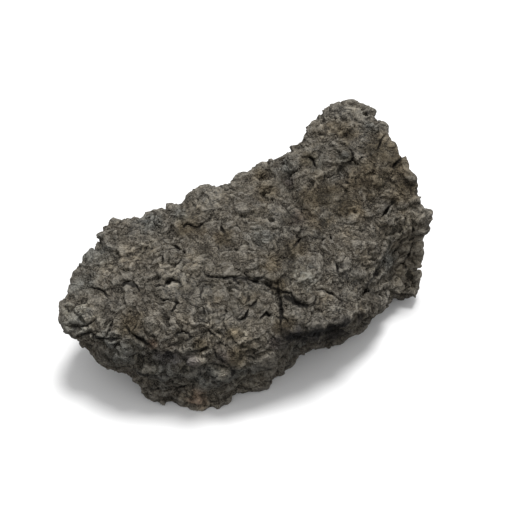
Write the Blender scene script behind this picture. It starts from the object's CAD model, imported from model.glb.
"""A rough weathered rock on a pale floor, in soft studio light.

Metres, +Z up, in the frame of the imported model, whose origin is on the floor under the middle of the
rock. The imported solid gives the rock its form. A fine skin is grown from that solid, and the stone's own
relief is worked into it: swells, chips with crevices between them, crumpled folds, pores, furrows, pits
and knolls. Places on the side that is seen from the station are given by their position on the station's
sighting grid, where one unit is 1 mm on the rock.
"""

import math
from itertools import product

import bpy
import numpy as np
from mathutils import Matrix, Vector
from mathutils.kdtree import KDTree


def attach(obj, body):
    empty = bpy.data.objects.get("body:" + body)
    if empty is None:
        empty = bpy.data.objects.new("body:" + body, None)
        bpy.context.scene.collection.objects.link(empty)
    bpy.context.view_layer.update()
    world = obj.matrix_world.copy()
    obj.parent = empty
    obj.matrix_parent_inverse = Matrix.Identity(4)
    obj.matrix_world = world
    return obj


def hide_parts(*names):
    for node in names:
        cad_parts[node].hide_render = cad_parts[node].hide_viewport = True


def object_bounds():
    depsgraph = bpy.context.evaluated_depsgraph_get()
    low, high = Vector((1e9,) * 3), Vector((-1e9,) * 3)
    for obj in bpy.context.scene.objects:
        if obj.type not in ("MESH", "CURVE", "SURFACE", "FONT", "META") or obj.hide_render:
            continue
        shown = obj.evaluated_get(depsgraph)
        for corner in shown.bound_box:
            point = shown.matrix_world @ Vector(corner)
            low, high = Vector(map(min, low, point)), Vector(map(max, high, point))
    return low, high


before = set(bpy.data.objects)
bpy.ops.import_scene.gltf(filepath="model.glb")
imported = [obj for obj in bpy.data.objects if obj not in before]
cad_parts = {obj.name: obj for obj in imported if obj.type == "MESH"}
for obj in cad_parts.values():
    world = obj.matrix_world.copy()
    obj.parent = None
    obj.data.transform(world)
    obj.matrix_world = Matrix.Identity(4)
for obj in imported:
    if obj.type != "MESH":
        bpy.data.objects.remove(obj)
cad_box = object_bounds()

MM = 0.001

# The station that the near side is sighted from.
STATION_AZIMUTH = math.radians(-25.0)
STATION_ELEVATION = math.radians(42.0)
STATION_DISTANCE = 1.209
STATION_AIM = Vector((0.0165, 0.0140, 0.0700))
GRID_FOCAL = 1208.9
GRID_MIDDLE = 256.0
SENSOR_WIDTH = 36.0
LENS = 85.0

# The skin: its cell size and its number of triangles.
SKIN_CELL = 0.00105
TRIANGLES = 194000

# Furrows, deepest first, as courses on the grid.
BROW_HOLLOWS = (
    ((282, 341), (291, 336), (302, 335), (314, 334), (326, 331), (338, 327), (349, 322)),
    ((283, 296), (290, 299), (298, 304), (308, 308)),
)
DEEP_FURROWS = (
    ((203, 271), (210, 277), (226, 278), (240, 277), (255, 282), (270, 285), (278, 291)),
    ((277, 281), (278, 292), (281, 305), (281, 318), (281, 328)),
    ((278, 291), (290, 293), (296, 303), (306, 306), (311, 308)),
    ((224, 308), (229, 315), (232, 320), (244, 319), (249, 309)),
    ((153, 286), (163, 285), (170, 280), (178, 281), (183, 286)),
    ((121, 282), (132, 284), (138, 288), (141, 293)),
    ((79, 336), (90, 332), (97, 338), (111, 340), (123, 337)),
    ((186, 353), (197, 351), (208, 348)),
    ((211, 345), (217, 356), (229, 366), (234, 372), (230, 379), (218, 382)),
    ((303, 160), (309, 157), (314, 161), (317, 169)),
    ((386, 134), (381, 140), (377, 152)),
    ((402, 158), (397, 163), (393, 168)),
    ((394, 201), (388, 208), (381, 218)),
    ((124, 324), (131, 334), (142, 340), (153, 347)),
    ((384, 261), (377, 271), (369, 283), (362, 294)),
    ((294, 247), (299, 240), (306, 238)),
    ((173, 338), (177, 334), (183, 332), (188, 334), (192, 338), (187, 340), (180, 338)),
)
FURROWS = (
    ((241, 271), (247, 277), (262, 279), (267, 275), (274, 273)),
    ((255, 324), (266, 313), (273, 316), (286, 319), (290, 325)),
    ((249, 309), (259, 298)),
    ((313, 291), (321, 289), (333, 295), (341, 300)),
    ((155, 294), (163, 300), (172, 300), (178, 303), (172, 311), (164, 317)),
    ((85, 287), (98, 289), (105, 293), (111, 301)),
    ((64, 325), (77, 328), (90, 324), (98, 317)),
    ((113, 320), (110, 329), (105, 338)),
    ((132, 370), (142, 375), (158, 377), (176, 373), (184, 377)),
    ((163, 388), (178, 387), (191, 385)),
    ((178, 237), (187, 224), (198, 228), (207, 220), (215, 213)),
    ((220, 221), (223, 231), (229, 238)),
    ((163, 268), (163, 250), (175, 248), (185, 253), (178, 264), (171, 269)),
    ((344, 147), (351, 149), (354, 158), (345, 166)),
    ((406, 216), (404, 226), (396, 236), (388, 247)),
    ((390, 263), (398, 256), (406, 251), (413, 242)),
    ((391, 270), (401, 263), (408, 256), (415, 247)),
    ((336, 262), (338, 276)),
    ((204, 284), (200, 298), (204, 311), (209, 322)),
    ((225, 278), (232, 278), (237, 282), (241, 287)),
    ((200, 328), (204, 325), (211, 333), (217, 337), (221, 343), (228, 348)),
    ((311, 308), (315, 303), (315, 297)),
    ((137, 382), (145, 381)),
    ((131, 364), (139, 373), (150, 376), (161, 374)),
    ((204, 380), (214, 382), (225, 381), (233, 376)),
    ((208, 361), (216, 364), (225, 367), (232, 372)),
    ((141, 386), (152, 389), (166, 388), (180, 387)),
    ((345, 181), (350, 184)),
    ((330, 235), (331, 242)),
    ((229, 289), (235, 287), (240, 291), (239, 298)),
)
HAIRLINES = (
    ((80, 320), (85, 323), (92, 323)),
    ((80, 341), (90, 341), (98, 342), (104, 343)),
    ((152, 336), (153, 332), (157, 330), (159, 334)),
    ((283, 167), (288, 168), (292, 173), (294, 180), (296, 187)),
    ((334, 153), (337, 156)),
    ((336, 192), (345, 198)),
    ((394, 200), (395, 206)),
    ((405, 215), (409, 213)),
    ((413, 240), (418, 236), (424, 234)),
    ((391, 255), (396, 252), (402, 250)),
    ((346, 252), (353, 251)),
    ((345, 254), (345, 259)),
    ((350, 266), (358, 268)),
    ((289, 201), (291, 208)),
    ((263, 195), (265, 190), (270, 187)),
    ((218, 282), (221, 289)),
    ((228, 290), (232, 292)),
    ((272, 290), (277, 296), (280, 310)),
    ((287, 295), (290, 300), (296, 304), (300, 303)),
    ((250, 292), (257, 289), (262, 285)),
    ((205, 305), (209, 315), (210, 325)),
    ((213, 310), (213, 325)),
    ((192, 321), (200, 323)),
    ((196, 342), (205, 341)),
    ((187, 346), (193, 347)),
    ((140, 310), (144, 313), (146, 318)),
    ((127, 314), (133, 312), (137, 305)),
    ((103, 312), (109, 315)),
    ((102, 275), (106, 273), (110, 277)),
    ((113, 268), (118, 268)),
    ((130, 263), (142, 260)),
    ((141, 251), (142, 260)),
    ((144, 246), (152, 244), (158, 246)),
    ((167, 329), (170, 326), (174, 329)),
    ((230, 248), (232, 253), (229, 259)),
    ((212, 238), (214, 246), (222, 241), (229, 237)),
    ((253, 264), (259, 263), (266, 268)),
    ((267, 345), (271, 338), (277, 334)),
    ((260, 349), (268, 349), (273, 350), (277, 347)),
    ((263, 352), (264, 355)),
    ((257, 372), (263, 367), (268, 365)),
    ((368, 286), (363, 293)),
)

# Each kind of furrow: its courses, and half its width and its depth in millimetres.
FURROW_KINDS = (
    (BROW_HOLLOWS, 3.0, 5.5),
    (DEEP_FURROWS, 1.5, 4.2),
    (FURROWS, 1.1, 2.8),
    (HAIRLINES, 0.85, 1.5),
)

# Pits: position on the grid, radius and depth in millimetres.
PITS = (
    (176, 258, 3.2, 3.0), (169, 263, 1.8, 1.8), (162, 264, 1.6, 1.5), (307, 281, 2.2, 2.0),
    (304, 276, 1.2, 1.2), (312, 279, 1.2, 1.2), (190, 313, 2.0, 1.6), (190, 318, 1.6, 1.5),
    (233, 201, 2.0, 2.0), (157, 276, 3.0, 2.0), (229, 289, 2.0, 2.2), (226, 308, 2.2, 2.2),
    (153, 327, 2.0, 2.0), (188, 332, 1.4, 1.4), (250, 178, 1.8, 1.8), (264, 195, 3.0, 2.5),
    (262, 178, 2.6, 2.2), (272, 221, 2.6, 2.4), (283, 206, 1.8, 1.8), (345, 112, 2.2, 1.8),
    (318, 119, 2.2, 2.0), (306, 134, 2.0, 2.0), (338, 153, 1.8, 1.8), (300, 241, 2.2, 2.2),
    (331, 239, 1.6, 2.0), (366, 290, 3.0, 2.6), (396, 252, 2.4, 2.2), (402, 263, 2.2, 2.2),
    (373, 273, 1.8, 1.8), (181, 390, 1.6, 1.6), (132, 334, 2.4, 2.4), (155, 351, 3.0, 2.6),
    (215, 340, 1.8, 1.8), (242, 318, 2.0, 1.8), (208, 344, 1.6, 1.6),
)

# Knolls on the near side and its rim: position on the grid, reach across and down, and height in millimetres.
KNOLLS = (
    (282, 300, 5, 5, 1.6), (311, 300, 4, 4, 1.4), (185, 336, 6, 2.6, 1.6), (153, 326, 4, 3.4, 1.6),
    (183, 389, 4, 3.4, 1.8), (75, 318, 8, 7, 1.4), (348, 156, 6, 5, 1.2), (352, 219, 6, 5, 1.0),
    (237, 296, 6, 6, 1.4), (172, 258, 7, 7, 1.2), (200, 360, 11, 3.6, 1.4), (390, 283, 6, 6, 1.2),
    (330, 268, 6, 5, 1.0), (372, 243, 6, 6, 1.0), (322, 176, 6, 5, 1.0), (266, 186, 4.5, 4.5, 1.4),
    (197, 359, 12, 4.5, 2.2), (221, 373, 13, 6, 2.4), (146, 368, 15, 5, 2.4), (177, 382, 13, 5, 2.0),
    (198, 401, 13, 6, 1.8), (245, 363, 15, 6, 1.8), (120, 356, 14, 5, 1.8), (264, 361, 11, 6, 1.6),
    (76, 278, 14, 18, 4.6), (87, 251, 12, 10, 2.2), (266, 163, 11, 7, 3.6), (388, 146, 9, 8, 1.6),
    (404, 165, 9, 12, 1.8), (379, 302, 10, 7, 2.4), (148, 397, 12, 7, 2.4), (420, 250, 8, 14, 2.4),
    (302, 277, 13, 9, 1.8), (178, 272, 15, 7, 1.4),
)


def station_axes():
    """The station's right, up and backward directions."""
    azimuth, elevation = STATION_AZIMUTH, STATION_ELEVATION
    right = Vector((math.cos(azimuth), math.sin(azimuth), 0.0))
    back = Vector((
        math.sin(azimuth) * math.cos(elevation),
        -math.cos(azimuth) * math.cos(elevation),
        math.sin(elevation),
    ))
    return right, back.cross(right), back


RIGHT, UP, BACK = station_axes()
STATION = STATION_AIM + BACK * STATION_DISTANCE


def sighted(points):
    """Grid positions (across, down) of an array of points in space."""
    offset = points - np.array(STATION)
    depth = -offset @ np.array(BACK)
    across = GRID_MIDDLE + GRID_FOCAL * (offset @ np.array(RIGHT)) / depth
    down = GRID_MIDDLE - GRID_FOCAL * (offset @ np.array(UP)) / depth
    return np.stack([across, down], axis=1)


def smooth_step(low, high, value):
    share = np.clip((value - low) / (high - low), 0.0, 1.0)
    return share * share * (3.0 - 2.0 * share)


# Reading and working a mesh as arrays. No direction's length is taken as less than this.
LEAST_LENGTH = 1e-9


def points_of(mesh):
    points = np.empty(len(mesh.vertices) * 3)
    mesh.vertices.foreach_get("co", points)
    return points.reshape(-1, 3)


def normals_of(mesh):
    normals = np.empty(len(mesh.vertices) * 3)
    mesh.vertex_normals.foreach_get("vector", normals)
    return normals.reshape(-1, 3)


def put_points(mesh, points):
    mesh.vertices.foreach_set("co", points.ravel())
    mesh.update()


class Neighbours:
    """Averages values over each vertex's neighbours."""

    def __init__(self, mesh):
        ends = np.empty(len(mesh.edges) * 2, np.int32)
        mesh.edges.foreach_get("vertices", ends)
        ends = ends.reshape(-1, 2)
        self.near = np.concatenate([ends[:, 0], ends[:, 1]])
        self.far = np.concatenate([ends[:, 1], ends[:, 0]])
        self.count = len(mesh.vertices)
        self.share = 1.0 / np.maximum(np.bincount(self.near, minlength=self.count), 1)

    def average(self, values, times, strength=1.0):
        for _ in range(times):
            columns = [
                np.bincount(self.near, values[self.far, column], self.count) * self.share
                for column in range(values.shape[1])
            ]
            values = values + (np.stack(columns, axis=1) - values) * strength
        return values


# Noise over arrays of points.
NOISE_TABLE = 4096
NOISE_SEED = 11
HASH_FACTORS = np.array([73856093, 19349663, 83492791])
HASH_TURN = 7919
SMOOTH_RANGE = 1.7


class Noise:
    """Smooth noise and cells over arrays of points in millimetres, the same in each run."""

    def __init__(self, seed):
        draws = np.random.default_rng(seed)
        ways = draws.normal(size=(NOISE_TABLE, 3, 3))
        self.ways = ways / np.linalg.norm(ways, axis=2, keepdims=True)
        self.centres = draws.random((NOISE_TABLE, 3))

    def entries(self, cells, turn):
        """The table entry of each cell of the lattice. Each turn gives another noise."""
        mixed = cells * HASH_FACTORS
        return (mixed[:, 0] ^ mixed[:, 1] ^ mixed[:, 2] ^ (turn * HASH_TURN)) % NOISE_TABLE

    def corners(self, points, size, turn):
        """For each corner of a point's lattice cell: its table entry, the offset to it and its weight."""
        place = points / size
        low = np.floor(place).astype(np.int64)
        share = place - low
        ease = share**3 * (share * (share * 6.0 - 15.0) + 10.0)
        for corner in product((0, 1), repeat=3):
            weight = np.where(corner, ease, 1.0 - ease).prod(axis=1)
            yield self.entries(low + corner, turn), share - corner, weight

    def smooth(self, points, size, turn):
        """Smooth noise from about -1 to 1, with lumps of this size."""
        total = np.zeros(len(points))
        for entry, offset, weight in self.corners(points, size, turn):
            total += weight * (offset * self.ways[entry, 0]).sum(axis=1)
        return SMOOTH_RANGE * total

    def shifted(self, points, size, reach, turn):
        """The points, each moved up to about this reach in a direction that wanders."""
        total = np.zeros((len(points), 3))
        for entry, offset, weight in self.corners(points, size, turn):
            total += weight[:, None] * np.einsum("pij,pj->pi", self.ways[entry], offset)
        return points + (SMOOTH_RANGE * reach) * total

    def layered(self, points, size, octaves, turn, fall=0.55):
        """Smooth noise with ever finer layers on it."""
        return sum(
            fall**octave * self.smooth(points, size / 2**octave, turn + octave)
            for octave in range(octaves)
        )

    def cells(self, points, size, turn):
        """For each point: the slope of its cell there, the distance to the centre, and to the cell's edge."""
        place = points / size
        low = np.floor(place).astype(np.int64)
        nearest = np.full(len(points), np.inf)
        second = np.full(len(points), np.inf)
        slope = np.zeros(len(points))
        for corner in product((-1, 0, 1), repeat=3):
            entry = self.entries(low + corner, turn)
            offset = place - low - corner - self.centres[entry]
            away = (offset * offset).sum(axis=1)
            closer = away < nearest
            second = np.where(closer, nearest, np.minimum(second, away))
            nearest = np.where(closer, away, nearest)
            slope = np.where(closer, (offset * self.ways[entry, 0]).sum(axis=1), slope)
        nearest, second = np.sqrt(nearest), np.sqrt(second)
        return slope, nearest, second - nearest


stone_noise = Noise(NOISE_SEED)


# The relief that the eye can place.
def course_distance(where, course):
    """Each grid position's distance to a course, and how far along the course it lies, from 0 to 1."""
    corners = np.array(course, float)
    steps = corners[1:] - corners[:-1]
    lengths = np.hypot(*steps.T)
    starts = np.concatenate([[0.0], np.cumsum(lengths)])
    nearest = np.full(len(where), np.inf)
    along = np.zeros(len(where))
    for corner, step, length, start in zip(corners, steps, lengths, starts):
        share = np.clip((where - corner) @ step / length**2, 0.0, 1.0)
        away = np.hypot(*(where - corner - share[:, None] * step).T)
        closer = away < nearest
        nearest[closer] = away[closer]
        along[closer] = (start + share[closer] * length) / starts[-1]
    return nearest, along


# How deep a furrow is at its ends and how full in between, and how far round its course it is looked for.
FURROW_END = 0.25
FURROW_BELLY = 0.7
FURROW_REACH = 6.0

# Its wandering, as sizes and reaches, and the noise that breaks its depth.
FURROW_WANDER = ((7.0, 1.3), (2.6, 0.6))
BREAK_SIZE = 9.0
BREAK_MEAN = 0.75
BREAK_SWING = 0.6

# How narrow it becomes where it is shallow, and the lip on each side: its height, place and width.
NARROW = 0.55
LIP_HEIGHT = 0.3
LIP_PLACE = 2.4
LIP_WIDTH = 1.2


def furrow_relief(where):
    """Depth of the furrows, with a low lip on each side, and how far into a furrow each place lies."""
    relief = np.zeros(len(where))
    inside = np.zeros(len(where))
    spots = np.column_stack([where, np.zeros(len(where))])
    wandering = where.copy()
    for size, reach in FURROW_WANDER:
        wandering[:, 0] += reach * stone_noise.smooth(spots, size, 5)
        wandering[:, 1] += reach * stone_noise.smooth(spots, size, 6)
    broken = BREAK_MEAN + BREAK_SWING * stone_noise.smooth(spots, BREAK_SIZE, 7)
    for courses, half_width, depth in FURROW_KINDS:
        for course in courses:
            low = np.min(course, axis=0) - FURROW_REACH
            high = np.max(course, axis=0) + FURROW_REACH
            close = np.flatnonzero(((where > low) & (where < high)).all(axis=1))
            if not len(close):
                continue
            distance, along = course_distance(wandering[close], course)
            belly = np.sin(np.pi * along) ** FURROW_BELLY
            tapered = (FURROW_END + (1.0 - FURROW_END) * belly) * broken[close]
            width = half_width * (NARROW + (1.0 - NARROW) * tapered)
            groove = np.exp(-((distance / width) ** 2))
            lip = np.exp(-(((distance - LIP_PLACE * width) / (LIP_WIDTH * width)) ** 2))
            change = depth * tapered * (LIP_HEIGHT * lip - groove)
            relief[close] = np.where(change < 0.0, np.minimum(relief[close], change), relief[close] + change)
            inside[close] = np.maximum(inside[close], tapered * groove * depth)
    return relief, inside


# Where a pit's wall starts and ends, as shares of its radius, and how full a knoll is.
PIT_FLOOR = 0.35
PIT_RIM = 1.15
KNOLL_FULL = 0.8


def pit_relief(where):
    relief = np.zeros(len(where))
    for across, down, radius, depth in PITS:
        reach = np.hypot(where[:, 0] - across, where[:, 1] - down) / radius
        relief -= depth * (1.0 - smooth_step(PIT_FLOOR, PIT_RIM, reach))
    return relief


def knoll_relief(where):
    relief = np.zeros(len(where))
    for across, down, wide, tall, height in KNOLLS:
        reach = ((where[:, 0] - across) / wide) ** 2 + ((where[:, 1] - down) / tall) ** 2
        relief += height * np.clip(1.0 - reach, 0.0, 1.0) ** KNOLL_FULL
    return relief


# The relief of the stone's own grain, in millimetres, all round. Each kind of chip: its size, how much it
# tilts, how high its middle stands, how deep the crevice round it is, and half the width of the crevice.
CHIPS = (
    (26.0, 4.4, 1.8, 0.7, 0.9),
    (12.0, 2.4, 1.4, 0.4, 0.7),
)
# How many chip sizes apart domes and hollows follow each other, how far they lean to hollow, and the square
# of the distance from a chip's middle at which they meet its plane.
BULGE_SPACING = 2.2
BULGE_LEAN = -0.15
BULGE_EDGE = 0.25
# The same for the stretches of open crevice, and the noise at which one opens and is fully open.
CREVICE_SPACING = 0.9
CREVICE_LEAST = 0.1
CREVICE_MOST = 0.7
# The stone's faint beds: chips are flatter than they are wide.
LAYERING = np.array([1.0, 1.0, 1.6])
# How upright a face points where the relief starts to grow, where it is full, and by how much it grows.
STEEP_NONE = 0.75
STEEP_FULL = 0.30
STEEP_GAIN = 0.15
# Calm and busy regions: their size, the usual strength of the relief, its swing, and its bounds.
BUSY_SIZE = 45.0
BUSY_MEAN = 0.9
BUSY_SWING = 0.7
BUSY_LEAST = 0.35
BUSY_MOST = 1.6
# Sizes and reaches of the wandering that keeps chips and folds from looking regular.
STRETCH_SIZE = 55.0
STRETCH_REACH = 7.0
WANDERS = ((14.0, 3.0), (5.0, 1.5), (2.4, 0.4))
SWELL_SIZE = 30.0
SWELL_HEIGHT = 1.8
WRINKLE_SIZE = 4.2
WRINKLE_HEIGHT = 0.45
# Sizes and heights of the folds, and how crests and creases follow each other.
FOLDS = ((17.0, 2.6), (8.5, 1.5), (4.6, 0.45))
FOLD_SPACING = 3.0
FOLD_TURN = 1.6
FOLD_LEAN = 0.3
# Pores: the size of the net's cells, how many cells apart they gather, the noise above which a cell
# has one, their radius and depth, and where their wall starts and ends as shares of the radius.
PORE_SIZE = 9.0
PORE_SPACING = 2.5
PORE_SHARE = 0.35
PORE_RADIUS = 1.6
PORE_DEPTH = 1.4
PORE_FLOOR = 0.3
PORE_RIM = 1.1
FULLNESS = 1.0


def chip_relief(spots, moved, chip, turn):
    """Tilted chips of stone, domed or hollow by turns, with a crevice along part of each edge."""
    size, tilt, dome, crevice, width = chip
    slope, centre, edge = stone_noise.cells(moved, size, turn)
    bulge = dome * (stone_noise.smooth(spots, BULGE_SPACING * size, turn + 2) + BULGE_LEAN)
    relief = tilt * slope - bulge * (centre * centre - BULGE_EDGE)
    stretches = stone_noise.smooth(spots, CREVICE_SPACING * size, turn + 1)
    open_edge = smooth_step(CREVICE_LEAST, CREVICE_MOST, stretches)
    return relief - crevice * open_edge * np.exp(-((edge * size / (2.0 * width)) ** 2))


def fold_relief(spots, moved):
    """Crumpled folds of several sizes, with sharp crests in some places and sharp creases in others."""
    relief = np.zeros(len(spots))
    for place, (size, height) in enumerate(FOLDS):
        fold = 1.0 - 2.0 * np.abs(stone_noise.smooth(moved, size, 80 + place))
        gathered = stone_noise.smooth(spots, FOLD_SPACING * size, 85 + place)
        relief += height * np.clip(FOLD_TURN * gathered + FOLD_LEAN, -1.0, 1.0) * fold
    return relief


def pore_relief(spots):
    """Small round pores in some of the cells of a net."""
    chance = stone_noise.smooth(spots, PORE_SPACING * PORE_SIZE, 90)
    _, centre, _ = stone_noise.cells(spots, PORE_SIZE, 91)
    reach = centre * PORE_SIZE / PORE_RADIUS
    return -PORE_DEPTH * (chance > PORE_SHARE) * (1.0 - smooth_step(PORE_FLOOR, PORE_RIM, reach))


def grain_relief(points, normals):
    spots = points / MM
    steep = smooth_step(STEEP_NONE, STEEP_FULL, normals[:, 2])
    busy = np.clip(BUSY_MEAN + BUSY_SWING * stone_noise.smooth(spots, BUSY_SIZE, 1), BUSY_LEAST, BUSY_MOST)
    busy *= 1.0 + STEEP_GAIN * steep
    moved = stone_noise.shifted(spots, STRETCH_SIZE, STRETCH_REACH, 2)
    for place, (size, reach) in enumerate(WANDERS):
        moved = stone_noise.shifted(moved, size, reach, 10 + place)
    relief = SWELL_HEIGHT * stone_noise.layered(spots, SWELL_SIZE, 2, 20)
    for place, chip in enumerate(CHIPS):
        relief += busy * chip_relief(spots, moved * LAYERING, chip, 30 + 10 * place)
    relief += WRINKLE_HEIGHT * stone_noise.layered(moved, WRINKLE_SIZE, 2, 70)
    return relief + busy * fold_relief(spots, moved) + pore_relief(spots) + FULLNESS


# The rock's skin.
def modified(thing, kind, **settings):
    """Runs one modifier over the piece and keeps its result."""
    modifier = thing.modifiers.new(kind.lower(), kind)
    for name, value in settings.items():
        setattr(modifier, name, value)
    bpy.context.view_layer.update()
    graph = bpy.context.evaluated_depsgraph_get()
    thing.data = bpy.data.meshes.new_from_object(thing.evaluated_get(graph))
    thing.modifiers.clear()


# How often and how strongly the skin is eased before its relief, its directions are averaged, and the
# raised skin is eased at last.
EASED_BEFORE = 5
EASING_BEFORE = 0.6
EASED_NORMALS = 4
EASING_AFTER = 0.25
# How squarely a face looks at the station where the near side's relief starts and is full, and the same for
# the knolls, which reach over the rim.
NEAR_NONE = 0.02
NEAR_FULL = 0.30
RIM_FAR = -0.40
RIM_NEAR = 0.05
# The grain is calmer on thin rims: by how much at most, the passes that tell how proud of its neighbourhood
# a place is, and where that starts to count and counts fully, in millimetres.
RIM_CALM = 0.55
RIM_PASSES = 30
RIM_NONE = 0.8
RIM_FULL = 2.6
# The worn sole keeps the solid's flat bed: how squarely a face looks down, and how high it lies.
SOLE_NONE = 0.3
SOLE_FULL = 0.8
SOLE_TOP = 0.006
SOLE_BED = 0.0008
# How far the relief may stand out of the solid's box.
SPILL = np.array([0.001, 0.001, 0.0])


def relief_at(points, normals, neighbours):
    """The height of all the relief over the eased skin, in millimetres."""
    where = sighted(points)
    facing = normals @ np.array(BACK)
    furrows, _ = furrow_relief(where)
    proud = ((points - neighbours.average(points, RIM_PASSES)) * normals).sum(axis=1) / MM
    relief = (1.0 - RIM_CALM * smooth_step(RIM_NONE, RIM_FULL, proud)) * grain_relief(points, normals)
    relief += smooth_step(NEAR_NONE, NEAR_FULL, facing) * (furrows + pit_relief(where))
    relief += smooth_step(RIM_FAR, RIM_NEAR, facing) * knoll_relief(where)
    sole = smooth_step(SOLE_NONE, SOLE_FULL, -normals[:, 2]) * smooth_step(SOLE_TOP, SOLE_BED, points[:, 2])
    return relief * (1.0 - sole)


def raise_skin(mesh):
    """Eases the skin and raises the relief on it."""
    neighbours = Neighbours(mesh)
    eased = neighbours.average(points_of(mesh), EASED_BEFORE, EASING_BEFORE)
    eased[:, 2] = np.maximum(eased[:, 2], 0.0)
    put_points(mesh, eased)
    normals = neighbours.average(normals_of(mesh), EASED_NORMALS)
    normals /= np.maximum(np.linalg.norm(normals, axis=1, keepdims=True), LEAST_LENGTH)
    raised = eased + normals * relief_at(eased, normals, neighbours)[:, None] * MM
    raised = neighbours.average(raised, 1, EASING_AFTER)
    low, high = np.array(cad_box[0]), np.array(cad_box[1])
    put_points(mesh, np.clip(raised, low - SPILL, high + SPILL))


def store(mesh, name, values):
    attribute = mesh.attributes.new(name, "FLOAT", "POINT")
    attribute.data.foreach_set("value", values.astype(np.float32))


# Soft patches of colour: a kind, a place on the grid and a radius in millimetres.
PATCHES = {
    "rust": ((200, 400, 12), (192, 404, 7), (152, 343, 6)),
    "umber": (
        (370, 175, 34), (345, 200, 26), (385, 145, 22), (318, 195, 22), (305, 215, 16), (345, 130, 18),
        (395, 165, 22), (402, 192, 18), (190, 226, 18), (275, 262, 14), (264, 190, 14), (295, 245, 14),
        (285, 325, 12), (232, 330, 12), (130, 325, 16), (262, 178, 12), (310, 158, 12), (222, 234, 12),
        (280, 285, 10), (235, 358, 16), (200, 342, 10),
    ),
    "shade": (
        (375, 145, 16), (350, 150, 14), (318, 166, 9), (285, 182, 15), (298, 200, 13), (326, 198, 16),
        (345, 205, 14), (392, 160, 14), (365, 185, 12), (340, 215, 10), (322, 225, 10), (377, 300, 12),
        (290, 218, 13), (285, 248, 13), (300, 238, 10), (290, 265, 11), (270, 285, 10), (195, 226, 14),
        (180, 233, 11), (228, 241, 12), (206, 250, 10), (206, 281, 8), (150, 292, 13), (190, 291, 12),
        (140, 331, 12), (150, 345, 9), (200, 343, 10), (236, 358, 12), (256, 356, 12), (220, 350, 8),
        (166, 316, 8), (232, 305, 8), (290, 300, 12), (302, 303, 9), (255, 300, 12), (410, 185, 12),
        (284, 330, 12), (372, 303, 12), (105, 310, 10), (335, 190, 8), (75, 275, 10),
    ),
    "grey": (
        (95, 250, 22), (80, 285, 18), (150, 222, 16), (180, 212, 12), (285, 165, 14), (304, 276, 18),
        (165, 372, 30), (240, 375, 26), (120, 360, 26), (205, 385, 24), (70, 318, 20), (347, 156, 10),
        (318, 160, 12), (110, 345, 14), (372, 125, 9), (390, 262, 16), (300, 345, 14), (260, 236, 14),
    ),
    "pale": (
        (410, 226, 20), (412, 268, 24), (396, 246, 14), (385, 229, 11), (303, 277, 17), (175, 274, 18),
        (188, 262, 14), (248, 298, 12), (230, 335, 10), (361, 318, 10), (414, 245, 20),
        (247, 344, 13), (408, 278, 16), (323, 224, 8), (358, 212, 9),
        (214, 325, 12), (77, 315, 20), (90, 318, 10), (262, 214, 12), (190, 208, 11), (130, 256, 16),
        (148, 249, 10), (140, 360, 10), (166, 352, 9), (182, 367, 10), (195, 398, 20), (246, 380, 18),
        (320, 131, 12), (336, 169, 8), (346, 232, 10), (366, 256, 13),
        (212, 302, 9), (356, 108, 10), (198, 359, 10), (318, 178, 9), (215, 196, 14), (222, 372, 9),
        (325, 300, 12), (400, 288, 16), (185, 336, 5), (150, 366, 10), (108, 268, 10), (185, 322, 10),
    ),
    "soot": (
        (292, 343, 13), (304, 339, 15), (320, 340, 17), (336, 336, 15), (288, 336, 12), (302, 331, 12),
        (318, 332, 13), (334, 328, 12), (348, 323, 10), (360, 317, 8),
    ),
    "plum": ((170, 355, 16), (190, 364, 12), (275, 344, 8), (300, 215, 12), (288, 180, 8), (225, 358, 10)),
}
# A patch is full out to the first of these shares of its radius and gone at the second. Its edge is ragged:
# by how much of the radius, and at what size in millimetres.
PATCH_FULL = 0.25
PATCH_GONE = 1.25
PATCH_EDGE = 0.35
PATCH_RAGGED = 12.0
# How far round a grid position the surface that the station sees there is looked for, and how squarely that
# surface looks at the station at least.
SIGHTING_REACH = 2.0
SIGHTING_LEAST = 0.05


def sighting_tree(where, facing):
    """A tree of the grid positions of the vertices that face the station."""
    seen = np.flatnonzero(facing > SIGHTING_LEAST)
    tree = KDTree(len(seen))
    for vertex in seen:
        across, down = where[vertex]
        tree.insert((across, down, 0.0), int(vertex))
    tree.balance()
    return tree


def sighted_point(tree, points, across, down):
    """The point of the surface that the station sees at this grid position."""
    found = tree.find_range((across, down, 0.0), SIGHTING_REACH) or [tree.find((across, down, 0.0))]
    vertices = [vertex for _, vertex, _ in found]
    ahead = points[vertices] @ np.array(BACK)
    return points[vertices[int(np.argmax(ahead))]]


def patch_shares(points, where, facing):
    """How strongly each kind of patch colours each vertex."""
    tree = sighting_tree(where, facing)
    shares = {}
    ragged = PATCH_EDGE * stone_noise.layered(points / MM, PATCH_RAGGED, 3, 60)
    for kind, patches in PATCHES.items():
        share = np.zeros(len(points))
        for across, down, radius in patches:
            centre = sighted_point(tree, points, across, down)
            away = np.linalg.norm(points - centre, axis=1) / (radius * MM)
            share = np.maximum(share, 1.0 - smooth_step(PATCH_FULL, PATCH_GONE, away + ragged))
        shares[kind] = share
    return shares


# The skin is averaged this much further for each kind of hollow in turn.
HOLLOWS = (("fine_hollow", 3), ("middle_hollow", 7), ("broad_hollow", 20))


def tell_material(mesh):
    """Stores what the stone's material needs to know: hollows and crests, furrows and patches of colour."""
    points = points_of(mesh)
    normals = normals_of(mesh)
    neighbours = Neighbours(mesh)
    averaged = points
    for name, passes in HOLLOWS:
        averaged = neighbours.average(averaged, passes)
        store(mesh, name, ((averaged - points) * normals).sum(axis=1) / MM)
    facing = normals @ np.array(BACK)
    where = sighted(points)
    _, inside = furrow_relief(where)
    store(mesh, "furrow", inside * smooth_step(NEAR_NONE, NEAR_FULL, facing))
    for kind, share in patch_shares(points, where, facing).items():
        store(mesh, kind, share)


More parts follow.
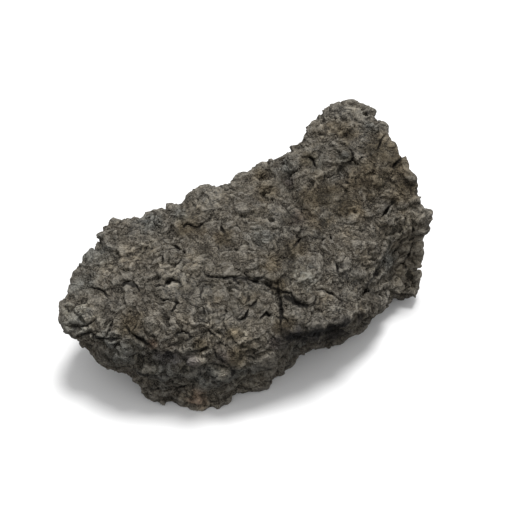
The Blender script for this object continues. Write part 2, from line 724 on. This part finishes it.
def keep_on_floor(mesh):
    """Lifts to the floor what thinning the mesh has pushed below it."""
    points = points_of(mesh)
    points[:, 2] = np.maximum(points[:, 2], 0.0)
    put_points(mesh, points)


def grow_rock():
    piece = bpy.data.objects.new("rock_skin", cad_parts["rock"].data.copy())
    bpy.context.scene.collection.objects.link(piece)
    modified(piece, "REMESH", mode="VOXEL", voxel_size=SKIN_CELL)
    raise_skin(piece.data)
    squares = len(piece.data.polygons)
    modified(piece, "DECIMATE", ratio=TRIANGLES / (2 * squares))
    keep_on_floor(piece.data)
    piece.data.materials.clear()
    piece.data.shade_smooth()
    tell_material(piece.data)
    return piece


# Shader building.
class Value:
    """One output of a shader node. Arithmetic on it adds Math nodes."""

    def __init__(self, recipe, socket):
        self.recipe = recipe
        self.socket = socket

    def math(self, operation, *operands):
        return self.recipe.node("ShaderNodeMath", {"operation": operation}, dict(enumerate(operands)))

    def __add__(self, other):
        return self.math("ADD", self, other)

    def __radd__(self, other):
        return self.math("ADD", other, self)

    def __sub__(self, other):
        return self.math("SUBTRACT", self, other)

    def __rsub__(self, other):
        return self.math("SUBTRACT", other, self)

    def __mul__(self, other):
        return self.math("MULTIPLY", self, other)

    def __rmul__(self, other):
        return self.math("MULTIPLY", other, self)


class Recipe:
    """The nodes of one material, or of the sky."""

    def __init__(self, owner, last_node):
        owner.use_nodes = True
        self.owner = owner
        self.tree = owner.node_tree
        self.surface = self.tree.nodes[last_node]

    def fill(self, socket, value):
        if isinstance(value, Value):
            self.tree.links.new(value.socket, socket)
        else:
            socket.default_value = value

    def node(self, kind, settings, sockets, give=0):
        """Adds one node: its settings first, then the values or links of its sockets."""
        made = self.tree.nodes.new(kind)
        for name, value in settings.items():
            setattr(made, name, value)
        for name, value in sockets.items():
            self.fill(made.inputs[name], value)
        return Value(self, made.outputs[give])

    def attribute(self, name):
        return self.node("ShaderNodeAttribute", {"attribute_name": name}, {}, "Fac")

    def step(self, value, low, high):
        """Runs smoothly from 0 at low to 1 at high."""
        settings = {"interpolation_type": "SMOOTHSTEP"}
        return self.node("ShaderNodeMapRange", settings, {"Value": value, "From Min": low, "From Max": high})

    def mix(self, first, second, share, blend="MIX"):
        settings = {"data_type": "RGBA", "blend_type": blend, "clamp_factor": True}
        return self.node("ShaderNodeMix", settings, {0: share, 6: first, 7: second}, 2)

    def noise(self, place, settings, size, detail, roughness, warp, **more):
        """A noise with lumps of this size in millimetres."""
        sockets = {"Vector": place, "Scale": 1.0 / (size * MM), "Detail": detail}
        sockets.update({"Roughness": roughness, "Distortion": warp}, **more)
        return self.node("ShaderNodeTexNoise", {"noise_dimensions": "3D", **settings}, sockets)

    def feed(self, **sockets):
        for name, value in sockets.items():
            self.fill(self.surface.inputs[name.replace("_", " ")], value)


# The stone's colours.
STONE = (0.064, 0.0545, 0.0425, 1.0)
STONE_DARK = (0.014, 0.0116, 0.0090, 1.0)
STONE_PALE = (0.230, 0.205, 0.163, 1.0)
STRAW = (0.107, 0.088, 0.060, 1.0)
SLATE = (0.058, 0.057, 0.055, 1.0)
CREVICE = (0.012, 0.011, 0.010, 1.0)
WORN = (0.250, 0.232, 0.200, 1.0)
GREY = (0.098, 0.100, 0.098, 1.0)
TINTS = {
    "umber": (0.86, 0.79, 0.67, 1.0),
    "shade": (0.58, 0.57, 0.55, 1.0),
    "grey": (0.92, 0.98, 1.04, 1.0),
    "pale": (1.70, 1.67, 1.60, 1.0),
    "rust": (1.08, 0.88, 0.80, 1.0),
    "plum": (0.86, 0.84, 0.92, 1.0),
    "soot": (0.24, 0.24, 0.26, 1.0),
}

# The noises that mottle the stone: size in millimetres, detail, roughness and warp.
GRAINS = {
    "broad": (42.0, 3.0, 0.55, 0.4),
    "blotch": (12.0, 5.0, 0.62, 0.8),
    "mottle": (4.5, 3.0, 0.75, 0.6),
    "curl": (2.4, 3.0, 0.7, 2.2),
    "speck": (1.1, 2.0, 0.6, 1.0),
    "hue": (9.0, 4.0, 0.68, 1.2),
    "region": (16.0, 2.0, 0.5, 0.5),
}

# The stone's tones, each laid over those before it: what places it, the value at which it starts and the one
# at which it is full, its colour, its strength, and what weakens it where the stone is plain.
TONES = (
    ("broad", 0.48, 0.64, GREY, 0.70, None),
    ("hue", 0.52, 0.70, STRAW, 0.50, None),
    ("hue", 0.47, 0.33, SLATE, 0.65, None),
    ("blotch", 0.51, 0.34, STONE_DARK, 0.80, None),
    ("blotch", 0.51, 0.70, STONE_PALE, 0.65, None),
    ("broad_hollow", -0.6, -3.0, WORN, 0.30, None),
    ("fine_hollow", -0.05, -0.45, WORN, 0.35, "plain"),
    ("middle_hollow", -0.2, -1.1, WORN, 0.50, "plain"),
    ("fine_hollow", 0.12, 0.7, CREVICE, 0.45, None),
    ("middle_hollow", 0.2, 1.2, CREVICE, 0.80, None),
    ("broad_hollow", 0.3, 2.4, CREVICE, 0.80, None),
    ("mottle", 0.51, 0.34, STONE_DARK, 0.45, "plain"),
    ("mottle", 0.50, 0.68, STONE_PALE, 0.42, None),
    ("curl", 0.49, 0.36, STONE_DARK, 1.0, "lively"),
    ("curl", 0.51, 0.64, STONE_PALE, 1.0, "lively"),
    ("speck", 0.49, 0.38, STONE_DARK, 0.5, "plain"),
    ("speck", 0.51, 0.62, STONE_PALE, 0.5, "plain"),
    ("furrow", 0.3, 2.0, CREVICE, 0.88, None),
)

# How much plainer pale stone is, and how strong the curls are: at least, how much more in lively regions,
# and the values of the region noise where they start to be lively and are fully so.
PALE_PLAIN = 0.6
LIVELY_LEAST = 0.27
LIVELY_SWING = 0.6
LIVELY_NONE = 0.38
LIVELY_FULL = 0.60

# The bump: branching ridges and a fine grit, each a noise as above and a depth in millimetres.
RIDGES = (9.0, 2.6, 0.7, 0.6)
RIDGE_KIND = {"noise_type": "RIDGED_MULTIFRACTAL", "normalize": True}
RIDGE_OFFSET = 0.9
RIDGE_GAIN = 1.8
RIDGE_DEPTH = 2.2
GRIT = (3.0, 1.2, 0.6, 0.8)
GRIT_DEPTH = 1.1

STONE_ROUGHNESS = 0.80
ROUGHNESS_SWING = 0.15
STONE_SHEEN = 0.14


def stone_colour(stone, place):
    """The stone's colour and the mottle that its roughness follows too."""
    values = {name: stone.noise(place, {}, *grain) for name, grain in GRAINS.items()}
    for name in ("fine_hollow", "middle_hollow", "broad_hollow", "furrow"):
        values[name] = stone.attribute(name)
    plain = 1.0 - PALE_PLAIN * stone.attribute("pale")
    busy = stone.step(values["region"], LIVELY_NONE, LIVELY_FULL) * LIVELY_SWING + LIVELY_LEAST
    calmers = {"plain": plain, "lively": plain * busy}
    colour = STONE
    for name, start, full, tone, strength, calmer in TONES:
        share = stone.step(values[name], start, full) * strength
        if calmer:
            share = share * calmers[calmer]
        colour = stone.mix(colour, tone, share)
    for kind, tint in TINTS.items():
        colour = stone.mix(colour, tint, stone.attribute(kind), "MULTIPLY")
    return colour, values["mottle"]


def stone_bump(stone, place):
    ridges = stone.noise(place, RIDGE_KIND, *RIDGES, Offset=RIDGE_OFFSET, Gain=RIDGE_GAIN)
    coarse = {"Height": ridges, "Strength": 1.0, "Distance": RIDGE_DEPTH * MM}
    grit = {"Height": stone.noise(place, {}, *GRIT), "Strength": 1.0, "Distance": GRIT_DEPTH * MM}
    grit["Normal"] = stone.node("ShaderNodeBump", {}, coarse)
    return stone.node("ShaderNodeBump", {}, grit)


def stone_material():
    stone = Recipe(bpy.data.materials.new("weathered_stone"), "Principled BSDF")
    place = stone.node("ShaderNodeTexCoord", {}, {}, "Object")
    colour, mottle = stone_colour(stone, place)
    roughness = STONE_ROUGHNESS + ROUGHNESS_SWING * mottle
    stone.feed(Base_Color=colour, Roughness=roughness, Normal=stone_bump(stone, place))
    stone.surface.inputs["Specular IOR Level"].default_value = STONE_SHEEN
    return stone.owner


def floor_material():
    floor = Recipe(bpy.data.materials.new("pale_floor"), "Principled BSDF")
    floor.feed(Base_Color=FLOOR_COLOUR, Roughness=FLOOR_ROUGHNESS)
    floor.surface.inputs["Specular IOR Level"].default_value = 0.0
    return floor.owner


# The studio.
FLOOR_COLOUR = (0.86, 0.86, 0.86, 1.0)
FLOOR_ROUGHNESS = 0.9
FLOOR_HALF = 12.0
SKY_COLOUR = (1.0, 1.0, 1.0, 1.0)
SKY_LIGHT = 0.65
HORIZON_LIGHT = 0.97
GROUND_LIGHT = 0.03
HORIZON_BLUR = 0.05
OVERHEAD = 0.9
KEY_STRENGTH = 2.8
KEY_SOFTNESS = math.radians(22.0)
KEY_DIRECTION = RIGHT * 0.10 + Vector((0.0, 0.0, 1.0)) + Vector((-BACK.x, -BACK.y, 0.0)) * 0.35


def lay_floor():
    half = FLOOR_HALF
    mesh = bpy.data.meshes.new("floor")
    corners = [(-half, -half, 0.0), (half, -half, 0.0), (half, half, 0.0), (-half, half, 0.0)]
    mesh.from_pydata(corners, [], [(0, 1, 2, 3)])
    mesh.materials.append(floor_material())
    floor = bpy.data.objects.new("floor", mesh)
    bpy.context.scene.collection.objects.link(floor)
    floor.visible_diffuse = False


def light_sky():
    """A sky that is brightest at the horizon, with little light from below it."""
    bpy.context.scene.world = bpy.data.worlds.new("studio")
    sky = Recipe(bpy.context.scene.world, "Background")
    direction = sky.node("ShaderNodeTexCoord", {}, {}, "Generated")
    height = sky.node("ShaderNodeSeparateXYZ", {}, {0: direction}, "Z")
    dawn = sky.step(height, -HORIZON_BLUR, HORIZON_BLUR) * (HORIZON_LIGHT - GROUND_LIGHT)
    noon = sky.step(height, 0.0, OVERHEAD) * (SKY_LIGHT - HORIZON_LIGHT)
    sky.feed(Color=SKY_COLOUR, Strength=GROUND_LIGHT + dawn + noon)


def hang_key():
    key = bpy.data.lights.new("key", "SUN")
    key.energy = KEY_STRENGTH
    key.angle = KEY_SOFTNESS
    lamp = bpy.data.objects.new("key", key)
    bpy.context.scene.collection.objects.link(lamp)
    lamp.rotation_euler = KEY_DIRECTION.to_track_quat("Z", "Y").to_euler()


def set_camera():
    camera = bpy.data.cameras.new("camera")
    camera.sensor_width = SENSOR_WIDTH
    camera.lens = LENS
    holder = bpy.data.objects.new("camera", camera)
    bpy.context.scene.collection.objects.link(holder)
    holder.matrix_world = Matrix.Translation(STATION) @ Matrix((RIGHT, UP, BACK)).transposed().to_4x4()
    bpy.context.scene.camera = holder


rock = grow_rock()
rock.data.materials.append(stone_material())
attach(rock, "root")
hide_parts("rock")
lay_floor()
light_sky()
hang_key()
set_camera()
bpy.context.scene.view_settings.view_transform = "Standard"
